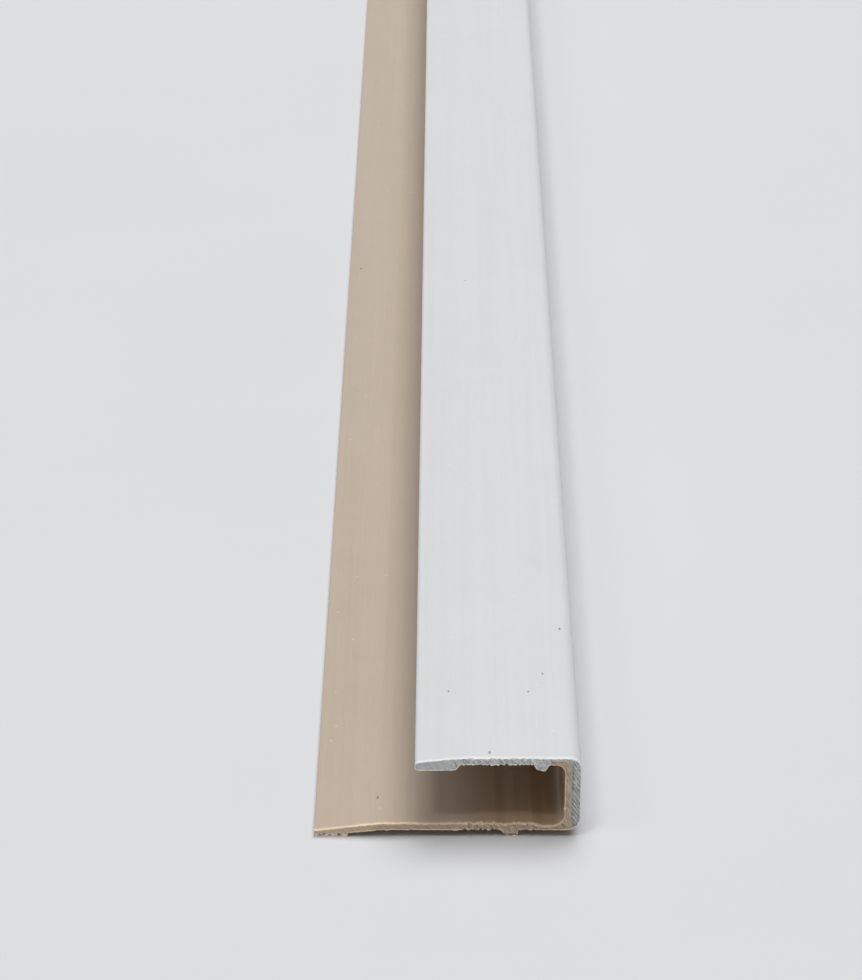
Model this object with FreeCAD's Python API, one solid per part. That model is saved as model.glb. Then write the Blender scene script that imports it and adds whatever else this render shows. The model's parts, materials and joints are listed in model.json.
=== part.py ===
"""Unequal-leg PVC channel trim, co-extruded from two compounds.

The channel lies on its long leg. X runs across the section, from the free edge of the long leg (-X)
to the web (+X). Y runs along the length, and Z is up from the floor. The origin is the centre of the
footprint. The section is drawn in u, the distance from the long leg's free edge, and z, the height.

One section, fused in the die, is split into two solids that meet face to face:
  white_cap   the show leg with its bead and grip rib, and the outer half of the web
  tan_base    the long fixing leg with its pad and foot rib, and the inner half of the web
"""

import FreeCAD
import Part

import math
import os

# Driving dimensions, in millimetres.
LENGTH = 2440.0
WIDTH = 34.0
HEIGHT = 12.0
SHOW_LEG_WIDTH = 21.05
SHOW_LEG_THICKNESS = 0.95
WEB_THICKNESS = 2.0
LONG_LEG_THICKNESS = 0.9
LONG_LEG_UNDERSIDE = 1.05

# Long leg: a sloped outer strip with a pad under its free edge, then a level floor.
FREE_EDGE_HEIGHT = 0.87
CREASE_U = 8.5
CREASE_RADIUS = 12.0
PAD_WIDTH = 4.3
PAD_INNER_HEIGHT = 0.53

# Foot rib under the long leg, with the shallow sink groove that forms above it.
FOOT_RIB_ROOT = (24.0, 26.15)
FOOT_RIB_TIP = (24.6, 26.05)
GROOVE_CENTRE_U = 24.4
GROOVE_HALF_WIDTH = 1.2
GROOVE_DEPTH = 0.23

# The long leg thins between the foot rib and the web.
THIN_FROM_U = 27.9
THIN_TO_U = 29.2
THIN_DEPTH = 0.4

# Show leg: a rounded bead along its free edge and a grip rib near the web.
BEAD_WIDTH = 5.1
BEAD_STEP_WIDTH = 0.7
BEAD_DEPTH = 0.8
BEAD_NOSE_DROP = 0.64
BEAD_CROWN_U = 18.5
GRIP_RIB_ROOT = (27.95, 29.95)
GRIP_RIB_TIP = (28.6, 29.5)
GRIP_RIB_DEPTH = 0.9

# White compound: how thick it is on the web and over the top corner, the height on the web where it starts
# to run out to the lower corner, and the slanted line where it ends inside the slot, beside the grip rib.
WHITE_WEB_THICKNESS = 1.0
WHITE_CORNER_THICKNESS = 0.58
WHITE_RUN_OUT_Z = 2.7
WHITE_END_Z = 0.6
WHITE_END_OUTSIDE = 0.2
WHITE_SEAM_U = (30.0, 30.7)
WHITE_SEAM_DEPTH = 0.15

# Corner radii.
EDGE_RADIUS = 0.15
SOFT_RADIUS = 0.3
GROOVE_RADIUS = 1.0
STEP_RADIUS = 0.8
BEAD_NOSE_RADIUS = 0.475
BEAD_CROWN_RADIUS = 30.0
OUTER_TOP_RADIUS = 1.6
OUTER_BOTTOM_RADIUS = 1.8
INNER_TOP_RADIUS = 1.3
INNER_BOTTOM_RADIUS = 1.7
WHITE_CORNER_RADIUS = 1.1

# Heights and distances that follow from the driving dimensions.
FLOOR_TOP = LONG_LEG_UNDERSIDE + LONG_LEG_THICKNESS
SHOW_LEG_UNDERSIDE = HEIGHT - SHOW_LEG_THICKNESS
BEAD_UNDERSIDE = SHOW_LEG_UNDERSIDE - BEAD_DEPTH
WEB_INNER_U = WIDTH - WEB_THICKNESS
BEAD_TIP_U = WIDTH - SHOW_LEG_WIDTH

# How far a cutting outline stands clear of the section.
CLEAR = 3.0


def to_row(u, z):
    """A section point at the near end of the length."""
    return FreeCAD.Vector(u - WIDTH / 2, -LENGTH / 2, z)


def corner_arc(before, corner, after, radius):
    """The tangent points and the middle point of an arc that rounds a corner."""
    to_before = (before - corner).normalize()
    to_after = (after - corner).normalize()
    half_angle = to_before.getAngle(to_after) / 2
    reach = radius / math.tan(half_angle)
    bisector = (to_before + to_after).normalize()
    to_middle = radius / math.sin(half_angle) - radius
    return corner + to_before * reach, corner + bisector * to_middle, corner + to_after * reach


def rounded_face(corners):
    """A flat face from a closed list of corners (u, z, radius), where radius 0 is a sharp corner."""
    points = [to_row(u, z) for u, z, _ in corners]
    edges = []
    joints = []
    for i, (_, _, radius) in enumerate(corners):
        before, corner, after = points[i - 1], points[i], points[(i + 1) % len(points)]
        if radius > 0:
            start, middle, end = corner_arc(before, corner, after, radius)
            edges.append(Part.Arc(start, middle, end).toShape())
            joints.append((start, end))
        else:
            joints.append((corner, corner))
    for i, (_, end) in enumerate(joints):
        start = joints[(i + 1) % len(joints)][0]
        edges.append(Part.LineSegment(end, start).toShape())
    return Part.Face(Part.Wire(Part.__sortEdges__(edges)))


def whole_section():
    """The full section of the channel, clockwise from the pad under the free edge."""
    long_leg_top = [
        (0.0, 0.0, SOFT_RADIUS),
        (0.0, FREE_EDGE_HEIGHT, EDGE_RADIUS),
        (CREASE_U, FLOOR_TOP, CREASE_RADIUS),
        (GROOVE_CENTRE_U - GROOVE_HALF_WIDTH, FLOOR_TOP, GROOVE_RADIUS),
        (GROOVE_CENTRE_U, FLOOR_TOP - GROOVE_DEPTH, GROOVE_RADIUS),
        (GROOVE_CENTRE_U + GROOVE_HALF_WIDTH, FLOOR_TOP, GROOVE_RADIUS),
        (THIN_FROM_U, FLOOR_TOP, STEP_RADIUS),
        (THIN_TO_U, FLOOR_TOP - THIN_DEPTH, STEP_RADIUS),
    ]
    web_inside = [
        (WEB_INNER_U, FLOOR_TOP - THIN_DEPTH, INNER_BOTTOM_RADIUS),
        (WEB_INNER_U, SHOW_LEG_UNDERSIDE, INNER_TOP_RADIUS),
    ]
    show_leg_inside = [
        (GRIP_RIB_ROOT[1], SHOW_LEG_UNDERSIDE, EDGE_RADIUS),
        (GRIP_RIB_TIP[1], SHOW_LEG_UNDERSIDE - GRIP_RIB_DEPTH, EDGE_RADIUS),
        (GRIP_RIB_TIP[0], SHOW_LEG_UNDERSIDE - GRIP_RIB_DEPTH, EDGE_RADIUS),
        (GRIP_RIB_ROOT[0], SHOW_LEG_UNDERSIDE, EDGE_RADIUS),
        (BEAD_TIP_U + BEAD_WIDTH + BEAD_STEP_WIDTH, SHOW_LEG_UNDERSIDE, SOFT_RADIUS),
        (BEAD_TIP_U + BEAD_WIDTH, BEAD_UNDERSIDE, SOFT_RADIUS),
        (BEAD_TIP_U, BEAD_UNDERSIDE, SOFT_RADIUS),
        (BEAD_TIP_U, HEIGHT - BEAD_NOSE_DROP, BEAD_NOSE_RADIUS),
    ]
    outside = [
        (BEAD_CROWN_U, HEIGHT, BEAD_CROWN_RADIUS),
        (WIDTH, HEIGHT, OUTER_TOP_RADIUS),
        (WIDTH, LONG_LEG_UNDERSIDE, OUTER_BOTTOM_RADIUS),
    ]
    underside = [
        (FOOT_RIB_ROOT[1], LONG_LEG_UNDERSIDE, EDGE_RADIUS),
        (FOOT_RIB_TIP[1], 0.0, EDGE_RADIUS),
        (FOOT_RIB_TIP[0], 0.0, EDGE_RADIUS),
        (FOOT_RIB_ROOT[0], LONG_LEG_UNDERSIDE, EDGE_RADIUS),
        (CREASE_U, LONG_LEG_UNDERSIDE, CREASE_RADIUS),
        (PAD_WIDTH, PAD_INNER_HEIGHT, EDGE_RADIUS),
        (PAD_WIDTH, 0.0, EDGE_RADIUS),
    ]
    return rounded_face(long_leg_top + web_inside + show_leg_inside + outside + underside)


def white_zone():
    """A face over everything that the white compound fills. Its lower right boundary is the line where
    the two compounds meet, and the rest of it lies clear of the section."""
    left = BEAD_TIP_U - CLEAR
    right = WIDTH + CLEAR
    above = HEIGHT + CLEAR
    slot_middle = (FLOOR_TOP + SHOW_LEG_UNDERSIDE) / 2
    meeting_u = WIDTH - WHITE_WEB_THICKNESS
    meeting_z = HEIGHT - WHITE_CORNER_THICKNESS
    return rounded_face([
        (left, slot_middle, 0),
        (left, above, 0),
        (right, above, 0),
        (right, WHITE_END_Z, 0),
        (WIDTH + WHITE_END_OUTSIDE, WHITE_END_Z, 0),
        (meeting_u, WHITE_RUN_OUT_Z, 0),
        (meeting_u, meeting_z, WHITE_CORNER_RADIUS),
        (WHITE_SEAM_U[1], meeting_z, 0),
        (WHITE_SEAM_U[0], SHOW_LEG_UNDERSIDE - WHITE_SEAM_DEPTH, 0),
        (WHITE_SEAM_U[0], slot_middle, 0),
    ])


def extruded(section, name):
    """Runs a section along the length and writes it as one solid."""
    solid = section.Faces[0].extrude(FreeCAD.Vector(0, LENGTH, 0))
    if len(section.Faces) != 1 or not solid.isValid() or solid.ShapeType != "Solid":
        raise ValueError(f"{name} is not one valid solid")
    solid.exportStep(f"parts/{name}.step")
    box = solid.BoundBox
    print(f"{name}: {solid.Volume:.0f} mm3, X {box.XMin:.2f} to {box.XMax:.2f}, "
          f"Y {box.YMin:.1f} to {box.YMax:.1f}, Z {box.ZMin:.2f} to {box.ZMax:.2f}")
    return solid


os.makedirs("parts", exist_ok=True)
section = whole_section()
zone = white_zone()
white_cap = extruded(section.common(zone), "white_cap")
tan_base = extruded(section.cut(zone), "tan_base")
shared = white_cap.common(tan_base).Volume
print(f"section {section.Area:.2f} mm2, whole {section.Area * LENGTH:.0f} mm3, "
      f"sum {white_cap.Volume + tan_base.Volume:.0f} mm3, shared {shared:.4f} mm3")
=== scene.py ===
"""The looks of an unequal-leg PVC channel trim, co-extruded in white and tan and sawn at both ends.

The section is drawn in u, the distance from the long leg's free edge, and z, the height above the floor,
both in millimetres. The length runs along +Y, and the end at the lowest Y is called the near end.
"""

import functools
import json
import math
import random

import bmesh
import bpy
from mathutils import Matrix, Vector, noise
from mathutils.geometry import intersect_point_line

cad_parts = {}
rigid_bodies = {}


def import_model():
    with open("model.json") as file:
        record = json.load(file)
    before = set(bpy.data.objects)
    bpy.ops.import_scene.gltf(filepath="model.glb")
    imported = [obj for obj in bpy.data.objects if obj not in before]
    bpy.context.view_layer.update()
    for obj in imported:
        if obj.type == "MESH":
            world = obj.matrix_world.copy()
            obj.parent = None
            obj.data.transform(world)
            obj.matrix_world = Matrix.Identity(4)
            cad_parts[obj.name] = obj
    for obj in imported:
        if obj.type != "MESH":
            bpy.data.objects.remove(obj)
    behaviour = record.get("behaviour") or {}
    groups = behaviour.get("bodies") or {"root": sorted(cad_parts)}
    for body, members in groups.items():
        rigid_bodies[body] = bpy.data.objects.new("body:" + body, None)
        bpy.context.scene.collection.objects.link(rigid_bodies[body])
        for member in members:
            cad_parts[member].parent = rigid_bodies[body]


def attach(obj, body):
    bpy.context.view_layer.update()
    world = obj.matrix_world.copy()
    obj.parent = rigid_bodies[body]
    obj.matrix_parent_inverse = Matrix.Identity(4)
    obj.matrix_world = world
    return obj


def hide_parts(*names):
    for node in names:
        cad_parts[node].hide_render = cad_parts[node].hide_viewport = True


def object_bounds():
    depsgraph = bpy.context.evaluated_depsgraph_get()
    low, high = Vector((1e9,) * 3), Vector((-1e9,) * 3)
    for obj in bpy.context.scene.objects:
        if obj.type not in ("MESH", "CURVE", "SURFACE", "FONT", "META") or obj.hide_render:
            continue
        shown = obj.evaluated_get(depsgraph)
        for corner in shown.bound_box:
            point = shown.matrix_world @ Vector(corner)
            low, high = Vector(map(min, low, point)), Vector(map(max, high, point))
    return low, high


for start_object in list(bpy.data.objects):
    bpy.data.objects.remove(start_object)

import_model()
cad_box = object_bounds()

MM = 0.001
LOW, HIGH = cad_box
WIDTH = (HIGH.x - LOW.x) / MM
LENGTH = (HIGH.y - LOW.y) / MM
HEIGHT = (HIGH.z - LOW.z) / MM

# Section, in millimetres: the legs, the web and the white compound on it.
SHOW_LEG_WIDTH = 21.05
SHOW_LEG_THICKNESS = 0.95
WEB_THICKNESS = 2.0
LONG_LEG_THICKNESS = 0.9
LONG_LEG_UNDERSIDE = 1.05
WHITE_WEB_THICKNESS = 1.0
WHITE_CORNER_THICKNESS = 0.58

# Long leg: sloped outer strip, pad, foot rib, sink groove and the thin stretch beside the web.
FREE_EDGE_HEIGHT = 0.87
CREASE_U = 8.5
PAD_WIDTH = 4.3
PAD_INNER_HEIGHT = 0.53
FOOT_RIB_ROOT = (24.0, 26.15)
FOOT_RIB_TIP = (24.6, 26.05)
GROOVE_U = (23.2, 24.4, 25.6)
GROOVE_DEPTH = 0.23
THIN_U = (27.9, 29.2)
THIN_DEPTH = 0.4

# Show leg: rounded bead at its free edge, and the grip rib near the web.
BEAD_WIDTH = 5.1
BEAD_STEP_WIDTH = 0.7
BEAD_DEPTH = 0.8
BEAD_NOSE_DROP = 0.64
BEAD_CROWN_U = 18.5
GRIP_RIB_ROOT = (27.95, 29.95)
GRIP_RIB_TIP = (28.6, 29.5)
GRIP_RIB_DEPTH = 0.9

# Heights and distances that follow from the ones above.
FLOOR_TOP = LONG_LEG_UNDERSIDE + LONG_LEG_THICKNESS
SHOW_LEG_UNDERSIDE = HEIGHT - SHOW_LEG_THICKNESS
BEAD_UNDERSIDE = SHOW_LEG_UNDERSIDE - BEAD_DEPTH
WEB_INNER_U = WIDTH - WEB_THICKNESS
BEAD_TIP_U = WIDTH - SHOW_LEG_WIDTH

# Corner radii, and the segments round a corner: the web's four corners have more than the others.
EDGE_RADIUS = 0.15
SOFT_RADIUS = 0.3
STEP_RADIUS = 0.8
GROOVE_RADIUS = 1.0
CREASE_RADIUS = 12.0
BEAD_NOSE_RADIUS = 0.475
BEAD_CROWN_RADIUS = 30.0
OUTER_TOP_RADIUS = 1.6
OUTER_BOTTOM_RADIUS = 1.8
INNER_TOP_RADIUS = 1.3
INNER_BOTTOM_RADIUS = 1.7
WHITE_CORNER_RADIUS = 1.1
WEB_CORNER_SEGMENTS = 18
OTHER_SEGMENTS = 6

# The seam between the compounds, from the slot side to the outside of the lower corner.
SEAM_START = (30.2, SHOW_LEG_UNDERSIDE)
SEAM_U = WIDTH - WHITE_WEB_THICKNESS
SEAM_Z = HEIGHT - WHITE_CORNER_THICKNESS
SEAM_LOW_Z = 2.18
SEAM_END = (33.58, 1.69)
SEAM_ARC_STEPS = 6

# Saw cut: a narrow raised rim round a recessed field, and the rows of points close behind the edge.
COLUMN = 0.1
RIM_WIDTH = 0.06
RIM_SLOPE = 0.06
CUT_RECESS = 0.16
RECESS_WHERE_TORN = 0.045
BURR_ROWS = (0.1, 0.25, 0.5, 0.9, 1.4, 2.2)

# Saw marks: straight ridges at a slant. They are deep in the white web and shallow everywhere else, where
# their valleys get less painted shade too.
SAW_PITCH = 0.42
SAW_PITCH_SPREAD = (0.75, 1.3)
SAW_DEPTH_SPREAD = (0.6, 1.0)
SAW_ANGLE = math.radians(57)
SAW_VALLEY = 0.65
TEETH_IN_WHITE_WEB = 0.15
TEETH_ELSEWHERE = 0.04
SHADE_ELSEWHERE = 0.15
NEAR_END_SEED = 3
FAR_END_SEED = 8

# Where the saw tore the skin more, and how far the edge is chipped back there and elsewhere.
TORN_U = (18.0, 30.0)
CHIPPED_BACK = (0.4, 0.1)

# Burr: its mean height, the height of its fine and its coarse waves, each with what tearing adds, and how
# far tearing counts on the faces that look down.
BURR_HEIGHT = 0.02
FINE_WAVES = (0.05, 0.08)
COARSE_WAVES = (0.04, 0.05)
TORN_UNDERNEATH = 0.4

# Nibs that the saw left on the edge: (u, z, how far they stand out, how wide).
NIBS = [(WEB_INNER_U, 4.3, 0.16, 0.12), (18.1, LONG_LEG_UNDERSIDE, 0.14, 0.3),
        (9.5, LONG_LEG_UNDERSIDE, 0.08, 0.5), (22.6, SHOW_LEG_UNDERSIDE, 0.1, 0.2),
        (19.6, FLOOR_TOP, 0.12, 0.2), (21.4, FLOOR_TOP, 0.1, 0.15)]

# Painted shade, as a deeper tan: a share of it sets in at the crease, and the rest comes in between two
# places in the slot.
CREASE_SHADE_U = (8.1, 8.9)
CREASE_SHADE_SHARE = 0.16
SLOT_SHADE_U = (16.0, 24.0)

# Sawn tone: how light the sawn face is, over which stretch it falls to that from a lighter tone at the long
# leg's free edge, and its contrast, which grows where the skin is torn. Crumbs cover what stands on the
# floor: nothing above the first height and all below the second. White is dragged over the tan beside the
# seam.
SAWN_TONE = 0.66
SAWN_TONE_U = (2.0, 14.0)
SAWN_CONTRAST = (1.4, 4.6)
SAWN_CONTRAST_U = (16.0, 19.0)
FRAYED_Z = (0.5, 0.3)
SMEAR_WIDTH = 0.5

# How strongly dirt and pale dust show on the skin.
DIRT_SHARE = 0.95
PALE_DUST_SHARE = 0.35

# Specks of dirt close to the near end: (u, distance from the end, z, radius).
SHOW_LEG_SPECKS = [(22.4, 1.5, HEIGHT, 0.22), (17.2, 15.8, 11.85, 0.16), (32.2, 30.9, HEIGHT, 0.2),
                   (27.6, 15.5, HEIGHT, 0.16), (29.6, 19.8, HEIGHT, 0.16)]
LONG_LEG_SPECKS = [(8.05, 6.0, FLOOR_TOP, 0.2)]

# Studio: the floor in metres, the light from all round, the lamps as (name, direction towards it, strength,
# spread in degrees), and the camera, in millimetres from the middle of the near end and in degrees.
FLOOR_RADIUS = 40
FILL_COLOR = (0.95, 0.97, 1, 1)
FILL_STRENGTH = 0.14
BACKDROP_COLOR = (0.71, 0.72, 0.74, 1)
LAMPS = [("overhead_softbox", (0.16, 0.26, 1), 2.2, 46),
         ("left_lamp", (-0.28, -0.28, 1), 0.42, 8),
         ("low_left_lamp", (-0.85, -0.28, 1), 0.38, 32)]
CAMERA_LENS = 110.53
CAMERA_FROM_NEAR_END = (-0.11, -313.54, 227.52)
CAMERA_TURN = (60.608, 0.14, 0.249)

# A piece is built in millimetres, as (u, distance from the near end, z), and then placed by this matrix.
TO_ROW = Matrix.Translation(LOW) @ Matrix.Scale(MM, 4)


# ---------------------------------------------------------------- section


def section_corners():
    """The corners of the whole section in order, as (u, z, radius)."""
    grip_tip = SHOW_LEG_UNDERSIDE - GRIP_RIB_DEPTH
    return [
        (0, 0, SOFT_RADIUS),
        (0, FREE_EDGE_HEIGHT, EDGE_RADIUS),
        (CREASE_U, FLOOR_TOP, CREASE_RADIUS),
        (GROOVE_U[0], FLOOR_TOP, GROOVE_RADIUS),
        (GROOVE_U[1], FLOOR_TOP - GROOVE_DEPTH, GROOVE_RADIUS),
        (GROOVE_U[2], FLOOR_TOP, GROOVE_RADIUS),
        (THIN_U[0], FLOOR_TOP, STEP_RADIUS),
        (THIN_U[1], FLOOR_TOP - THIN_DEPTH, STEP_RADIUS),
        (WEB_INNER_U, FLOOR_TOP - THIN_DEPTH, INNER_BOTTOM_RADIUS),
        (WEB_INNER_U, SHOW_LEG_UNDERSIDE, INNER_TOP_RADIUS),
        (*SEAM_START, 0),
        (GRIP_RIB_ROOT[1], SHOW_LEG_UNDERSIDE, EDGE_RADIUS),
        (GRIP_RIB_TIP[1], grip_tip, EDGE_RADIUS),
        (GRIP_RIB_TIP[0], grip_tip, EDGE_RADIUS),
        (GRIP_RIB_ROOT[0], SHOW_LEG_UNDERSIDE, EDGE_RADIUS),
        (BEAD_TIP_U + BEAD_WIDTH + BEAD_STEP_WIDTH, SHOW_LEG_UNDERSIDE, SOFT_RADIUS),
        (BEAD_TIP_U + BEAD_WIDTH, BEAD_UNDERSIDE, SOFT_RADIUS),
        (BEAD_TIP_U, BEAD_UNDERSIDE, SOFT_RADIUS),
        (BEAD_TIP_U, HEIGHT - BEAD_NOSE_DROP, BEAD_NOSE_RADIUS),
        (BEAD_CROWN_U, HEIGHT, BEAD_CROWN_RADIUS),
        (WIDTH, HEIGHT, OUTER_TOP_RADIUS),
        (WIDTH, LONG_LEG_UNDERSIDE, OUTER_BOTTOM_RADIUS),
        (FOOT_RIB_ROOT[1], LONG_LEG_UNDERSIDE, EDGE_RADIUS),
        (FOOT_RIB_TIP[1], 0, EDGE_RADIUS),
        (FOOT_RIB_TIP[0], 0, EDGE_RADIUS),
        (FOOT_RIB_ROOT[0], LONG_LEG_UNDERSIDE, EDGE_RADIUS),
        (CREASE_U, LONG_LEG_UNDERSIDE, CREASE_RADIUS),
        (PAD_WIDTH, PAD_INNER_HEIGHT, EDGE_RADIUS),
        (PAD_WIDTH, 0, EDGE_RADIUS),
    ]


def arc_segments(radius):
    """How many segments round a corner. The web's corners are the ones with radii between 1 and 2 mm."""
    return WEB_CORNER_SEGMENTS if 1 < radius < 2 else OTHER_SEGMENTS


def round_corners(bm, verts, radii):
    """Rounds the corners of a flat outline, each with its own radius in millimetres."""
    reaches = []
    for i, vert in enumerate(verts):
        to_before = verts[i - 1].co - vert.co
        to_after = verts[(i + 1) % len(verts)].co - vert.co
        reaches.append(radii[i] / math.tan(to_before.angle(to_after) / 2))
    for vert, radius, reach in zip(verts, radii, reaches):
        if radius > 0:
            bmesh.ops.bevel(bm, geom=[vert], offset=reach, offset_type="OFFSET", affect="VERTICES",
                            segments=arc_segments(radius), profile=0.5, material=-1)


def seam_points():
    """The points of the seam between its two ends, with the top corner as an arc."""
    points = [Vector((SEAM_START[0], 0, SEAM_Z))]
    for step in range(SEAM_ARC_STEPS + 1):
        angle = math.radians(90 - 90 * step / SEAM_ARC_STEPS)
        points.append(Vector((SEAM_U - WHITE_CORNER_RADIUS * (1 - math.cos(angle)), 0,
                              SEAM_Z - WHITE_CORNER_RADIUS * (1 - math.sin(angle)))))
    return points + [Vector((SEAM_U, 0, SEAM_LOW_Z))]


def seam_distance(u, z):
    """How far a section point lies from the seam, in millimetres."""
    point = Vector((u, 0, z))
    line = [Vector((SEAM_START[0], 0, SEAM_START[1])), *seam_points(), Vector((SEAM_END[0], 0, SEAM_END[1]))]
    distances = []
    for start, end in zip(line, line[1:]):
        nearest, share = intersect_point_line(point, start, end)
        nearest = start.lerp(end, min(max(share, 0), 1))
        distances.append((point - nearest).length)
    return min(distances)


def nearest_vert(bm, u, z):
    """The point of the near end's outline that lies closest to a section point."""
    return min(bm.verts, key=lambda v: (v.co - Vector((u, 0, z))).length)


def compound_section(bm, white):
    """One flat face on the near end: the white compound's part of the section, or the tan one's."""
    corners = section_corners()
    verts = [bm.verts.new((u, 0, z)) for u, z, _ in corners]
    bm.faces.new(verts)
    round_corners(bm, verts, [radius for _, _, radius in corners])
    whole, = bm.faces
    bmesh.utils.face_split(whole, nearest_vert(bm, *SEAM_START), nearest_vert(bm, *SEAM_END),
                           coords=seam_points())
    bead = nearest_vert(bm, BEAD_TIP_U, BEAD_UNDERSIDE)
    other = [face for face in bm.faces if (bead in face.verts) != white]
    bmesh.ops.delete(bm, geom=other, context="FACES")
    # The outline gets a point about every COLUMN, so that the burr can follow it.
    cuts = {}
    for edge in bm.edges:
        cuts.setdefault(round(edge.calc_length() / COLUMN) - 1, []).append(edge)
    for count, edges in cuts.items():
        if count > 0:
            bmesh.ops.bisect_edges(bm, edges=edges, cuts=count)


# ---------------------------------------------------------------- saw cut


def saw_lines(seed):
    """Ridge and valley positions of the saw marks, measured across them in millimetres."""
    rng = random.Random(seed)
    lines = []
    ridge = 0.0
    while ridge < WIDTH + HEIGHT:
        pitch = SAW_PITCH * rng.uniform(*SAW_PITCH_SPREAD)
        lines.append((ridge, 0.0))
        lines.append((ridge + SAW_VALLEY * pitch, rng.uniform(*SAW_DEPTH_SPREAD)))
        ridge += pitch
    return lines


def across_saw(u, z):
    """How far a section point lies across the saw marks, in millimetres."""
    return u * math.sin(SAW_ANGLE) + z * math.cos(SAW_ANGLE)


def saw_depth(lines, u, z):
    """Depth of the saw marks at a section point, from 0 on a ridge to 1 in the deepest valley."""
    across = across_saw(u, z)
    for (before, low), (after, high) in zip(lines, lines[1:]):
        if before <= across <= after:
            return low + (high - low) * (across - before) / (after - before)
    return 0.0


def in_white_web(u, z):
    """Whether a section point is in the white half of the web, where the saw marks are deep."""
    return u > SEAM_U - 0.1 and z < SEAM_Z


def cut_depth(lines, u, z):
    """How far the sawn field lies behind the rim at a section point, in millimetres."""
    teeth = TEETH_IN_WHITE_WEB if in_white_web(u, z) else TEETH_ELSEWHERE
    uneven = 0.75 + 0.7 * noise.noise(Vector((u * 0.9, z * 0.9, 3.0)))
    torn = RECESS_WHERE_TORN * torn_share(u)
    return CUT_RECESS + torn + teeth * uneven * saw_depth(lines, u, z)


def cut_cap(bm, cap, outward, lines, lip, groove):
    """Turns one end's flat face into a sawn one: a raised rim, and saw marks across what it holds. The rim
    is left out along the seam, where the other compound goes on."""
    cap.material_index = 1
    rings = set()
    for width in (RIM_WIDTH, RIM_SLOPE):
        ring = bmesh.ops.inset_region(bm, faces=[cap], thickness=width, use_even_offset=True,
                                      use_boundary=True)
        rings |= {vert for face in ring["faces"] for vert in face.verts}
    outline = rings - set(cap.verts)
    recessed = {vert for vert in outline if seam_distance(vert.co.x, vert.co.z) < 1.3 * RIM_WIDTH}
    for vert in outline - recessed:
        vert[lip] = 1.0
    field = bmesh.ops.triangulate(bm, faces=[cap])["faces"]
    normal = Vector((math.sin(SAW_ANGLE), 0, math.cos(SAW_ANGLE)))
    for position, _ in lines:
        corner = Vector((position / normal.x, 0, 0))
        verts = {vert for face in field for vert in face.verts}
        sides = [(vert.co - corner).dot(normal) for vert in verts]
        if min(sides) < 0 < max(sides):
            edges = {edge for face in field for edge in face.edges}
            cut = bmesh.ops.bisect_plane(bm, geom=[*field, *edges, *verts], plane_co=corner,
                                         plane_no=normal, dist=1e-5)
            field = [item for item in cut["geom"] if isinstance(item, bmesh.types.BMFace)]
    for vert in recessed | {vert for face in field for vert in face.verts}:
        u, _, z = vert.co
        vert.co.y -= outward * cut_depth(lines, u, z)
        # The groove value sets the painted shade in the valleys of the saw marks.
        vert[groove] = saw_depth(lines, u, z) * (1 if in_white_web(u, z) else SHADE_ELSEWHERE)


def cap_at(bm, y):
    """The end face that lies at y."""
    flat = [face for face in bm.faces if all(abs(vert.co.y - y) < 1e-4 for vert in face.verts)]
    return max(flat, key=lambda face: len(face.verts))


def torn_share(u):
    """How badly the saw tore the edge at u, from 0 to 1."""
    return min(max((u - TORN_U[0]) / 2, 0), max((TORN_U[1] - u) / 2, 0), 1)


def burr_height(u, z, y):
    """How far the burr stands out of the skin at a cut edge, in millimetres."""
    fine = noise.noise(Vector((u * 3.1, z * 3.1, y)))
    coarse = noise.noise(Vector((u * 1.3, z * 1.3, y + 7)))
    faces_up = abs(z - FLOOR_TOP) < 0.5 or z > HEIGHT - 0.3
    torn = torn_share(u) * (1 if faces_up else TORN_UNDERNEATH)
    fine_size = FINE_WAVES[0] + FINE_WAVES[1] * torn
    coarse_size = COARSE_WAVES[0] + COARSE_WAVES[1] * torn
    height = BURR_HEIGHT + fine_size * fine + coarse_size * coarse
    for nib_u, nib_z, reach, size in NIBS:
        away = ((u - nib_u) ** 2 + (z - nib_z) ** 2) / size ** 2
        height += reach * math.exp(-away)
    return height


def chipped_back(u, z, y):
    """How far the edge is chipped back from the cut's own plane, in millimetres."""
    chips = noise.noise(Vector((u * 1.9, z * 1.9, y + 3))) + 0.9 * noise.noise(Vector((u * 4.1, z, y)))
    torn, sound = CHIPPED_BACK
    reach = sound + (torn - sound) * torn_share(u)
    return reach * min(max(0.35 + 1.1 * chips, 0), 1)


def raise_burr(bm, y, outward, lip):
    """Pulls the skin out into a ragged burr close to one sawn end, and chips its edge back. Where a point
    lies on the seam it isn't pulled out, so that the two pieces stay closed on each other."""
    bm.normal_update()
    moves = []
    for vert in bm.verts:
        distance = (y - vert.co.y) * outward
        flat = Vector((vert.normal.x, 0, vert.normal.z))
        at_edge = vert[lip] > 0
        if at_edge or (0 < distance < BURR_ROWS[-1] and abs(vert.normal.y) < 0.1):
            fade = max(0.0, 1 - distance / BURR_ROWS[-1]) ** 3
            vert[lip] = max(vert[lip], fade)
            u, _, z = vert.co
            move = Vector((0, -outward * chipped_back(u, z, y) * fade, 0))
            if flat.length > 0.2 and seam_distance(u, z) > 0.01:
                move += flat.normalized() * burr_height(u, z, y) * fade
            moves.append((vert, move))
    for vert, move in moves:
        vert.co += move
        vert.co.x = min(max(vert.co.x, 0), WIDTH)
        vert.co.z = min(max(vert.co.z, 0), HEIGHT)


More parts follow.
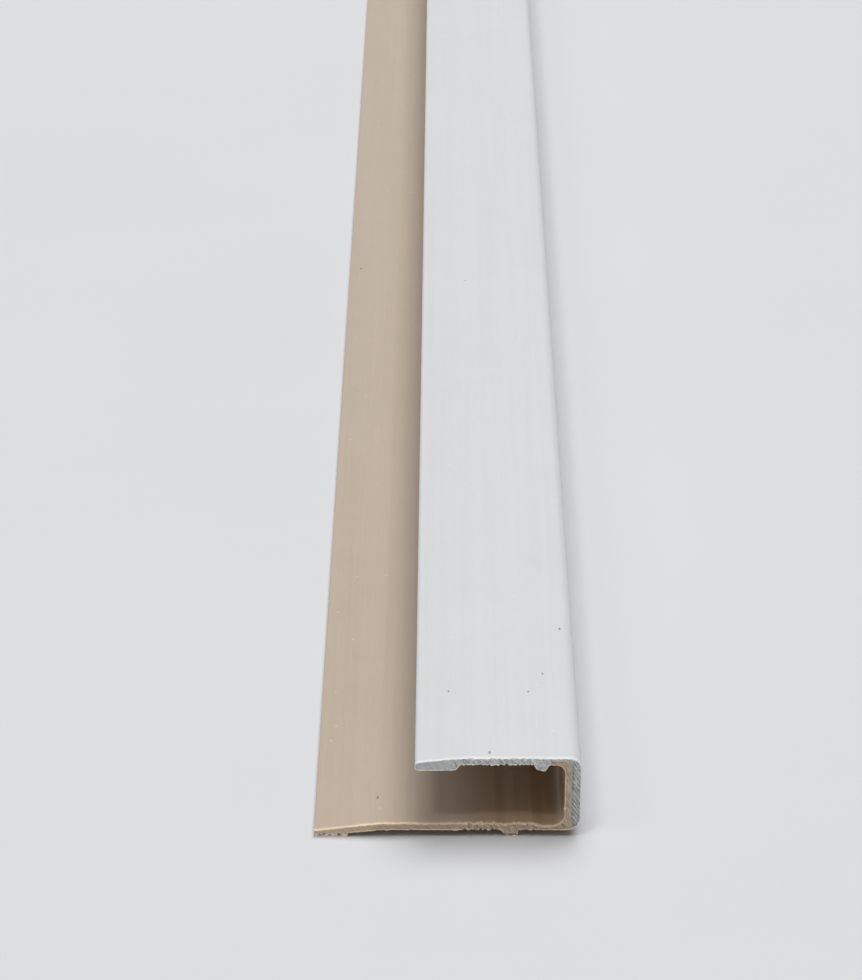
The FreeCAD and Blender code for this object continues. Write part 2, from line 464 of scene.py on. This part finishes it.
def compound_piece(name, white, skin, sawn):
    """One compound of the channel at full length, sawn at both ends."""
    bm = bmesh.new()
    for layer in ("lip", "groove"):
        bm.verts.layers.float.new(layer)
    lip = bm.verts.layers.float["lip"]
    groove = bm.verts.layers.float["groove"]
    compound_section(bm, white)
    grown = bmesh.ops.extrude_face_region(bm, geom=bm.faces[:])["geom"]
    bmesh.ops.translate(bm, verts=[v for v in grown if isinstance(v, bmesh.types.BMVert)],
                        vec=(0, LENGTH, 0))
    bmesh.ops.recalc_face_normals(bm, faces=bm.faces[:])
    ends = ((0, -1, NEAR_END_SEED), (LENGTH, 1, FAR_END_SEED))
    for y, outward, seed in ends:
        for row in BURR_ROWS:
            bmesh.ops.bisect_plane(bm, geom=[*bm.faces, *bm.edges, *bm.verts], dist=1e-5,
                                   plane_co=(0, y - outward * row, 0), plane_no=(0, 1, 0))
        cut_cap(bm, cap_at(bm, y), outward, saw_lines(seed), lip, groove)
    for y, outward, _ in ends:
        raise_burr(bm, y, outward, lip)
    bmesh.ops.dissolve_degenerate(bm, edges=bm.edges[:], dist=0.0005)
    bm.normal_update()
    for face in bm.faces:
        face.smooth = face.material_index == 0
    bm.transform(TO_ROW)
    return finish_piece(bm, name, [skin, sawn])


def finish_piece(bm, name, materials):
    """Makes a mesh object of a finished bmesh, at the origin."""
    mesh = bpy.data.meshes.new(name)
    bm.to_mesh(mesh)
    bm.free()
    for material in materials:
        mesh.materials.append(material)
    piece = bpy.data.objects.new(name, mesh)
    bpy.context.scene.collection.objects.link(piece)
    return piece


# ---------------------------------------------------------------- node groups
#
# Scales are per metre: at a scale of 2000, a pattern changes about every half millimetre.


def node(tree, kind, inputs, **settings):
    """Adds a node, with its settings, and its inputs linked or set by name or number."""
    made = tree.nodes.new(kind)
    for setting, value in settings.items():
        setattr(made, setting, value)
    for socket, value in inputs.items():
        if isinstance(value, bpy.types.NodeSocket):
            tree.links.new(value, made.inputs[socket])
        else:
            made.inputs[socket].default_value = value
    return made


def new_group(name, inputs, outputs):
    """An empty shader node group, as (tree, input sockets, output node)."""
    tree = bpy.data.node_groups.new(name, "ShaderNodeTree")
    for in_out, sockets in (("INPUT", inputs), ("OUTPUT", outputs)):
        for socket, kind in sockets.items():
            tree.interface.new_socket(socket, in_out=in_out, socket_type="NodeSocket" + kind)
    return tree, tree.nodes.new("NodeGroupInput").outputs, tree.nodes.new("NodeGroupOutput")


def use_group(tree, group, inputs):
    """Places a node group and returns its outputs."""
    return node(tree, "ShaderNodeGroup", inputs, node_tree=group).outputs


def math_node(tree, operation, first, second=0.0):
    """The result of one operation on two values or sockets."""
    return node(tree, "ShaderNodeMath", {0: first, 1: second}, operation=operation).outputs[0]


def die_lines_group():
    """Fine lines that the die draws along the length: many across, long and broken along Y."""
    tree, given, made = new_group("die_lines", {"Vector": "Vector", "Across": "Float", "Along": "Float"},
                                  {"Tone": "Float"})
    stretch = node(tree, "ShaderNodeCombineXYZ",
                   {"X": given["Across"], "Y": given["Along"], "Z": given["Across"]})
    spot = node(tree, "ShaderNodeVectorMath", {0: given["Vector"], 1: stretch.outputs[0]},
                operation="MULTIPLY")
    lines = node(tree, "ShaderNodeTexNoise", {"Vector": spot.outputs[0], "Scale": 1, "Detail": 3,
                                              "Roughness": 0.6})
    tree.links.new(lines.outputs["Fac"], made.inputs["Tone"])
    return tree


def cloudiness_group():
    """Soft patches, where the compound cooled unevenly."""
    tree, given, made = new_group("cloudiness", {"Vector": "Vector", "Scale": "Float"}, {"Tone": "Float"})
    cloud = node(tree, "ShaderNodeTexNoise", {"Vector": given["Vector"], "Scale": given["Scale"],
                                              "Detail": 4, "Roughness": 0.55})
    tree.links.new(cloud.outputs["Fac"], made.inputs["Tone"])
    return tree


def sawn_fuzz_group():
    """Torn plastic on a sawn face: short strokes along the saw marks, and crumbs."""
    tree, given, made = new_group("sawn_fuzz", {"Vector": "Vector", "Stroke": "Float", "Crumb": "Float"},
                                  {"Tone": "Float", "Crumbs": "Float"})
    along = node(tree, "ShaderNodeVectorRotate", {"Vector": given["Vector"], "Angle": -SAW_ANGLE},
                 rotation_type="Y_AXIS")
    stroke = node(tree, "ShaderNodeVectorMath", {0: along.outputs[0], 1: (0.22, 1, 1)},
                  operation="MULTIPLY")
    strokes = node(tree, "ShaderNodeTexNoise", {"Vector": stroke.outputs[0], "Scale": given["Stroke"],
                                                "Detail": 2, "Roughness": 0.6})
    crumbs = node(tree, "ShaderNodeTexNoise", {"Vector": given["Vector"], "Scale": given["Crumb"],
                                               "Detail": 3, "Roughness": 0.7})
    tree.links.new(strokes.outputs["Fac"], made.inputs["Tone"])
    tree.links.new(crumbs.outputs["Fac"], made.inputs["Crumbs"])
    return tree


def whitening_and_highlight_group():
    """A broken pale line that follows the cut edge: partly the plastic turning pale where the saw strains
    it, partly a painted highlight along the edge.
    """
    tree, given, made = new_group("whitening_and_highlight", {"Vector": "Vector", "Edge": "Float", "Start": "Float",
                                                "Breaks": "Float"}, {"Mask": "Float"})
    uneven = node(tree, "ShaderNodeTexNoise", {"Vector": given["Vector"], "Scale": 1600, "Detail": 2})
    shift = math_node(tree, "MULTIPLY", math_node(tree, "SUBTRACT", uneven.outputs["Fac"], 0.5),
                      given["Breaks"])
    edge = math_node(tree, "MULTIPLY", given["Edge"], math_node(tree, "ADD", shift, 1.0))
    mask = node(tree, "ShaderNodeMapRange", {"Value": edge, "From Min": given["Start"], "From Max": 0.85},
                interpolation_type="SMOOTHSTEP")
    tree.links.new(mask.outputs[0], made.inputs["Mask"])
    return tree


def speck_group():
    """One small spot of dirt at a place on the surface, drawn out along the length."""
    tree, given, made = new_group("speck", {"Vector": "Vector", "Place": "Vector", "Radius": "Float"},
                                  {"Mask": "Float"})
    wobble = node(tree, "ShaderNodeTexNoise", {"Vector": given["Vector"], "Scale": 5000})
    offset = node(tree, "ShaderNodeVectorMath", {0: given["Vector"], 1: given["Place"]},
                  operation="SUBTRACT").outputs[0]
    shrunk = node(tree, "ShaderNodeVectorMath", {0: offset, 1: (1, 0.5, 1)}, operation="MULTIPLY")
    away = node(tree, "ShaderNodeVectorMath", {0: shrunk.outputs[0]}, operation="LENGTH").outputs["Value"]
    ragged = math_node(tree, "MULTIPLY", away, math_node(tree, "ADD", wobble.outputs["Fac"], 0.5))
    mask = node(tree, "ShaderNodeMapRange", {"Value": ragged, "From Min": given["Radius"],
                                             "From Max": math_node(tree, "MULTIPLY", given["Radius"], 0.4)},
                interpolation_type="SMOOTHSTEP")
    tree.links.new(mask.outputs[0], made.inputs["Mask"])
    return tree


def scattered_dust_group():
    """Dust over the whole length: a few fine specks, at random places."""
    tree, given, made = new_group("scattered_dust", {"Vector": "Vector", "Cells": "Float", "Share": "Float"},
                                  {"Mask": "Float"})
    cells = node(tree, "ShaderNodeTexVoronoi", {"Vector": given["Vector"], "Scale": given["Cells"]})
    dot = node(tree, "ShaderNodeMapRange", {"Value": cells.outputs["Distance"], "From Min": 0.1,
                                            "From Max": 0.05})
    chosen = node(tree, "ShaderNodeSeparateColor", {0: cells.outputs["Color"]})
    kept = math_node(tree, "LESS_THAN", chosen.outputs[0], given["Share"])
    tree.links.new(math_node(tree, "MULTIPLY", dot.outputs[0], kept), made.inputs["Mask"])
    return tree


DIE_LINES = die_lines_group()
CLOUDINESS = cloudiness_group()
SAWN_FUZZ = sawn_fuzz_group()
WHITENING_AND_HIGHLIGHT = whitening_and_highlight_group()
SPECK = speck_group()
SCATTERED_DUST = scattered_dust_group()


# ---------------------------------------------------------------- materials


def mixed(tree, share, first, second):
    """A colour mixed from two, each a colour or a socket."""
    colors = [(*color, 1) if isinstance(color, tuple) else color for color in (first, second)]
    mix = node(tree, "ShaderNodeMix", {}, data_type="RGBA")
    for socket, value in ((mix.inputs[0], share), (mix.inputs[6], colors[0]), (mix.inputs[7], colors[1])):
        if isinstance(value, bpy.types.NodeSocket):
            tree.links.new(value, socket)
        else:
            socket.default_value = value
    return mix.outputs[2]


def ranged(tree, value, low, high, spread=0.2):
    """Spreads a tone that lies about 0.5 over a range."""
    return node(tree, "ShaderNodeMapRange", {"Value": value, "From Min": 0.5 - spread,
                                             "From Max": 0.5 + spread,
                                             "To Min": low, "To Max": high}).outputs[0]


def new_material(name):
    """A material with a Principled BSDF, as (material, tree, shader, position, edge), where edge is 1 on a
    cut edge and fades over the skin behind it."""
    material = bpy.data.materials.new(name)
    material.use_nodes = True
    tree = material.node_tree
    shader = tree.nodes["Principled BSDF"]
    position = node(tree, "ShaderNodeTexCoord", {}).outputs["Object"]
    edge = node(tree, "ShaderNodeAttribute", {}, attribute_name="lip").outputs["Fac"]
    return material, tree, shader, position, edge


def bump(tree, shader, height, strength, distance):
    """Gives a shader a relief from a tone, with its depth in millimetres."""
    relief = node(tree, "ShaderNodeBump", {"Height": height, "Strength": strength,
                                           "Distance": distance * MM})
    tree.links.new(relief.outputs["Normal"], shader.inputs["Normal"])


def over_section(tree, position, axis, start, end, low=0.0, high=1.0):
    """A value that goes from low to high between two places in the section, in millimetres."""
    origin = LOW.x if axis == "X" else LOW.z
    place = node(tree, "ShaderNodeSeparateXYZ", {0: position}).outputs[axis]
    return node(tree, "ShaderNodeMapRange", {"Value": place, "From Min": origin + start * MM,
                                             "From Max": origin + end * MM, "To Min": low, "To Max": high},
                interpolation_type="SMOOTHSTEP").outputs[0]


def skin_material(name, dark, light, pale_color, dirt, specks, deep=None):
    """The smooth extruded skin of one compound. It is dark and light by turns along the die lines, pale at
    the cut edges, partly from strain and partly as a painted highlight, and darker with painted shade past
    the crease and inside the slot."""
    material, tree, shader, position, edge = new_material(name)
    lines = use_group(tree, DIE_LINES, {"Vector": position, "Across": 2200.0, "Along": 14.0})["Tone"]
    broad = use_group(tree, DIE_LINES, {"Vector": position, "Across": 420.0, "Along": 5.0})["Tone"]
    clouds = use_group(tree, CLOUDINESS, {"Vector": position, "Scale": 130.0})["Tone"]
    chatter = use_group(tree, DIE_LINES, {"Vector": position, "Across": 2600.0, "Along": 330.0})["Tone"]
    # How much of the skin's tone each of them makes.
    shares = ((lines, 0.3), (broad, 0.25), (clouds, 0.2), (chatter, 0.25))
    parts = [math_node(tree, "MULTIPLY", part, share) for part, share in shares]
    tone = functools.reduce(lambda first, second: math_node(tree, "ADD", first, second), parts)
    color = mixed(tree, ranged(tree, tone, 0, 1), dark, light)
    # The deep colour is painted shade: a share of it past the crease, all of it in the slot under the show
    # leg.
    if deep:
        crease = over_section(tree, position, "X", *CREASE_SHADE_U, 0, CREASE_SHADE_SHARE)
        color = mixed(tree, crease, color, deep)
        color = mixed(tree, over_section(tree, position, "X", *SLOT_SHADE_U), color, deep)
    # Pale cut edges: partly plastic turned pale by the saw's strain, partly a painted highlight.
    mask = use_group(tree, WHITENING_AND_HIGHLIGHT, {"Vector": position, "Edge": edge, "Start": 0.3, "Breaks": 0.8})
    color = mixed(tree, mask["Mask"], color, pale_color)
    dust = use_group(tree, SCATTERED_DUST, {"Vector": position, "Cells": 330.0, "Share": 0.035})["Mask"]
    for *place, radius in specks:
        spot = use_group(tree, SPECK, {"Vector": position, "Place": TO_ROW @ Vector(place),
                                       "Radius": radius * MM})
        dust = math_node(tree, "MAXIMUM", dust, spot["Mask"])
    color = mixed(tree, math_node(tree, "MULTIPLY", dust, DIRT_SHARE), color, dirt)
    pale = use_group(tree, SCATTERED_DUST, {"Vector": position, "Cells": 450.0, "Share": 0.3})["Mask"]
    color = mixed(tree, math_node(tree, "MULTIPLY", pale, PALE_DUST_SHARE), color, pale_color)
    tree.links.new(color, shader.inputs["Base Color"])
    tree.links.new(ranged(tree, tone, 0.36, 0.48), shader.inputs["Roughness"])
    bump(tree, shader, tone, strength=0.25, distance=0.03)
    return material


def sawn_material(name, dark, light, pale_color, marked, free_edge_tone=SAWN_TONE, smear=None, frayed=None):
    """The rough sawn end of one compound. Its saw marks show by marked, the painted shade in their valleys,
    and clean is its tone at the long leg's free edge. Smear is the colour dragged over it beside the seam,
    and frayed the colour of the crumbs on the parts that stand on the floor."""
    material, tree, shader, position, edge = new_material(name)
    fuzz = use_group(tree, SAWN_FUZZ, {"Vector": position, "Stroke": 3200.0, "Crumb": 6500.0})
    groove = node(tree, "ShaderNodeAttribute", {}, attribute_name="groove").outputs["Fac"]
    tone = math_node(tree, "ADD", math_node(tree, "MULTIPLY", fuzz["Tone"], 0.45),
                     math_node(tree, "MULTIPLY", fuzz["Crumbs"], 0.55))
    rough = math_node(tree, "MULTIPLY", math_node(tree, "SUBTRACT", tone, 0.5),
                      over_section(tree, position, "X", *SAWN_CONTRAST_U, *SAWN_CONTRAST))
    # The sawn face is lighter towards the long leg's free edge, by the given tone there.
    shade = math_node(tree, "ADD", rough,
                      over_section(tree, position, "X", *SAWN_TONE_U, free_edge_tone, SAWN_TONE))
    # Painted shade in the valleys of the saw marks.
    shade = math_node(tree, "SUBTRACT", shade, math_node(tree, "MULTIPLY", groove, marked))
    color = mixed(tree, node(tree, "ShaderNodeClamp", {"Value": shade}).outputs[0], dark, light)
    if smear:
        seam_x = LOW.x + SEAM_U * MM
        across = node(tree, "ShaderNodeSeparateXYZ", {0: position}).outputs["X"]
        near = node(tree, "ShaderNodeMapRange", {"Value": across, "From Min": seam_x - SMEAR_WIDTH * MM,
                                                 "From Max": seam_x}).outputs[0]
        drag = math_node(tree, "SUBTRACT", math_node(tree, "MULTIPLY", near, 1.5), groove)
        color = mixed(tree, node(tree, "ShaderNodeClamp", {"Value": drag}).outputs[0], color, smear)
    if frayed:
        crumbs = use_group(tree, CLOUDINESS, {"Vector": position, "Scale": 2400.0})["Tone"]
        frays = mixed(tree, ranged(tree, crumbs, 0, 1, spread=0.05), dark, frayed)
        color = mixed(tree, over_section(tree, position, "Z", *FRAYED_Z), color, frays)
    # Pale cut edges: partly plastic turned pale by the saw's strain, partly a painted highlight.
    mask = use_group(tree, WHITENING_AND_HIGHLIGHT, {"Vector": position, "Edge": edge, "Start": 0.3, "Breaks": 1.0})
    color = mixed(tree, mask["Mask"], color, pale_color)
    tree.links.new(color, shader.inputs["Base Color"])
    shader.inputs["Roughness"].default_value = 0.75
    bump(tree, shader, tone, strength=0.8, distance=0.06)
    return material


def floor_material():
    """Pale matt floor. The faint unevenness keeps it from being one flat colour."""
    material, tree, shader, position, _ = new_material("pale_floor")
    clouds = use_group(tree, CLOUDINESS, {"Vector": position, "Scale": 9.0})["Tone"]
    color = mixed(tree, ranged(tree, clouds, 0, 1), (0.685, 0.69, 0.705), (0.705, 0.71, 0.725))
    tree.links.new(color, shader.inputs["Base Color"])
    shader.inputs["Roughness"].default_value = 0.95
    return material


white_skin = skin_material("white_skin", dark=(0.635, 0.64, 0.65), light=(0.695, 0.695, 0.7),
                           pale_color=(0.87, 0.87, 0.87), dirt=(0.22, 0.2, 0.18), specks=SHOW_LEG_SPECKS)
white_sawn = sawn_material("white_sawn", dark=(0.33, 0.345, 0.33), light=(0.9, 0.91, 0.88),
                           pale_color=(0.95, 0.945, 0.94), marked=0.75)
# Its deep colour is painted shade, for the crease and the slot under the show leg.
tan_skin = skin_material("tan_skin", dark=(0.455, 0.365, 0.28), light=(0.52, 0.43, 0.34),
                         pale_color=(0.9, 0.68, 0.48), dirt=(0.12, 0.09, 0.07), specks=LONG_LEG_SPECKS,
                         deep=(0.43, 0.3, 0.19))
tan_sawn = sawn_material("tan_sawn", dark=(0.3, 0.22, 0.155), light=(0.84, 0.65, 0.47),
                         pale_color=(0.95, 0.74, 0.54), marked=0.5, free_edge_tone=0.95,
                         smear=(0.5, 0.49, 0.46), frayed=(0.97, 0.95, 0.92))

white_trim = compound_piece("white_cap_trim", True, white_skin, white_sawn)
tan_trim = compound_piece("tan_base_trim", False, tan_skin, tan_sawn)
for piece, cad_node, slot in ((white_trim, "white_cap", "white_pvc"), (tan_trim, "tan_base", "tan_pvc")):
    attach(piece, "root")
    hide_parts(cad_node)


# ---------------------------------------------------------------- floor, light and camera


def make_floor():
    """A pale floor, wide enough to reach past every view."""
    bm = bmesh.new()
    bmesh.ops.create_circle(bm, cap_ends=True, segments=64, radius=FLOOR_RADIUS)
    finish_piece(bm, "floor", [floor_material()])


def make_world():
    """Even light from all round. The camera and reflections see it as pale as the floor."""
    world = bpy.data.worlds.new("studio")
    bpy.context.scene.world = world
    world.use_nodes = True
    tree = world.node_tree
    fill = tree.nodes["Background"]
    fill.inputs["Color"].default_value = FILL_COLOR
    fill.inputs["Strength"].default_value = FILL_STRENGTH
    seen = node(tree, "ShaderNodeBackground", {"Color": BACKDROP_COLOR, "Strength": 1})
    path = node(tree, "ShaderNodeLightPath", {}).outputs
    direct = math_node(tree, "MAXIMUM", path["Is Camera Ray"], path["Is Glossy Ray"])
    mix = node(tree, "ShaderNodeMixShader", {0: direct, 1: fill.outputs[0], 2: seen.outputs[0]})
    tree.links.new(mix.outputs[0], tree.nodes["World Output"].inputs["Surface"])


def make_lamp(name, towards, strength, spread):
    """A distant soft lamp, given the direction towards it and its spread in degrees."""
    lamp = bpy.data.lights.new(name, "SUN")
    lamp.energy = strength
    lamp.angle = math.radians(spread)
    holder = bpy.data.objects.new(name, lamp)
    holder.rotation_euler = Vector(towards).to_track_quat("Z", "Y").to_euler()
    bpy.context.scene.collection.objects.link(holder)


def make_camera():
    """Above the near end, looking along the length and down at the cut."""
    data = bpy.data.cameras.new("camera")
    data.lens = CAMERA_LENS
    data.sensor_width = 36
    data.clip_start = 0.01
    data.clip_end = 100
    camera = bpy.data.objects.new("camera", data)
    camera.location = Vector((0, LOW.y, LOW.z)) + Vector(CAMERA_FROM_NEAR_END) * MM
    camera.rotation_euler = [math.radians(angle) for angle in CAMERA_TURN]
    bpy.context.scene.collection.objects.link(camera)
    bpy.context.scene.camera = camera


make_floor()
make_world()
for lamp_settings in LAMPS:
    make_lamp(*lamp_settings)
make_camera()
bpy.context.scene.view_settings.view_transform = "Standard"
